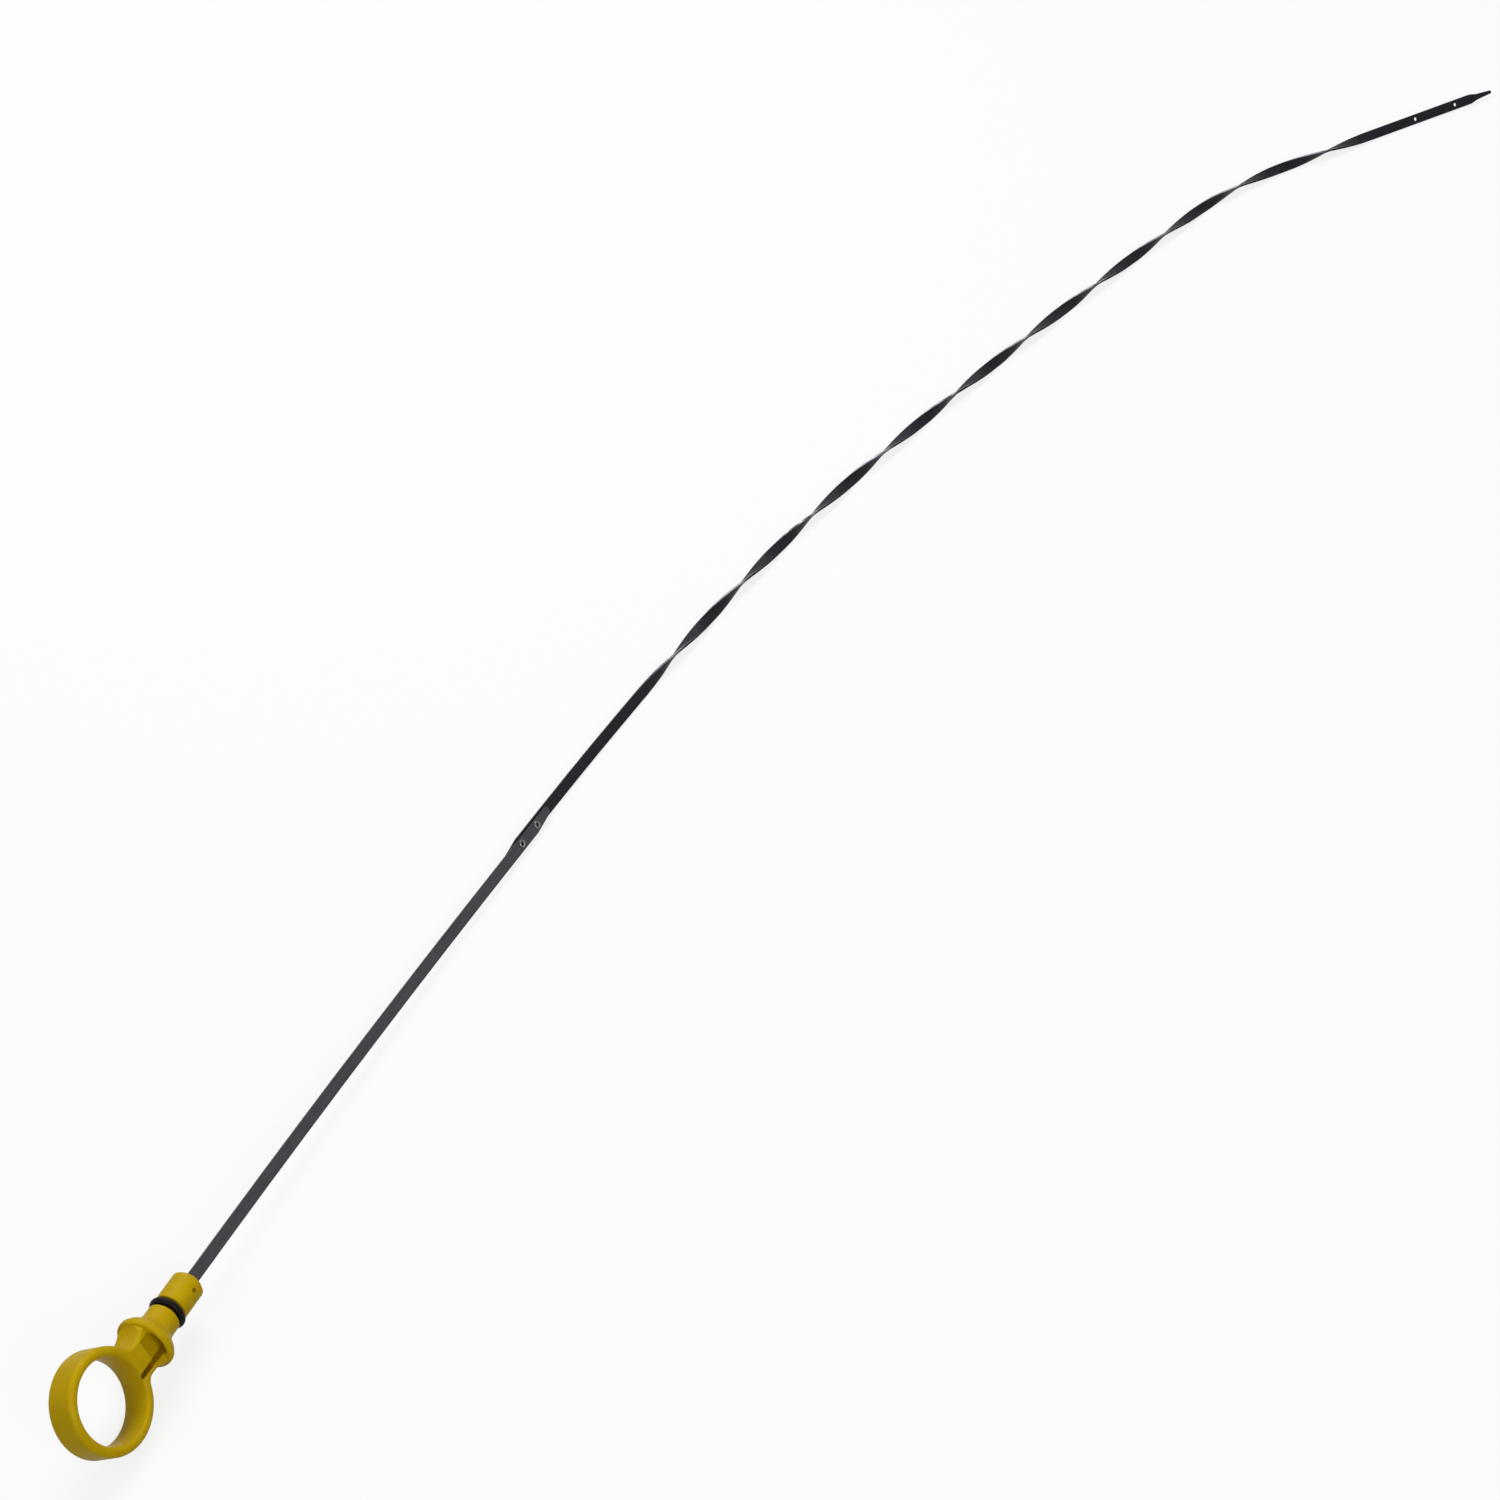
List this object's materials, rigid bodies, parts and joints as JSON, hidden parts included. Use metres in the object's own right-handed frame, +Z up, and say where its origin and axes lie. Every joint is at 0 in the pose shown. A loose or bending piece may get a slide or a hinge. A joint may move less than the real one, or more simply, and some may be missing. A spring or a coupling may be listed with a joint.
{
  "type": "engine oil dipstick",
  "caption": "Engine oil dipstick: yellow finger-ring handle with sealed plug, grey flat strip riveted to a long black blade, twisted, curved and narrowed at its drilled tip.",
  "frame": {"origin": "on the plug axis, half way along the cylindrical nose wall in front of the O-ring groove", "axes": "+X along the stick from handle to tip seen from above, +Z up from the level surface the stick lies on, +Y to the left of the stick"},
  "size_m": [0.9338, 0.2365, 0.0337],
  "materials": {
    "handle": "satin moulded, yellow",
    "o_ring": "smooth black",
    "upper_blade": "grey, dull",
    "lower_blade": "black, worn bright on the edges",
    "lap_rivets": "grey, dull"
  },
  "bodies": {
    "root": {"handle": "handle", "o_ring": "o_ring", "upper_blade": "upper_blade", "lower_blade": "lower_blade", "lap_rivets": "lap_rivets"}
  },
  "joints": []
}
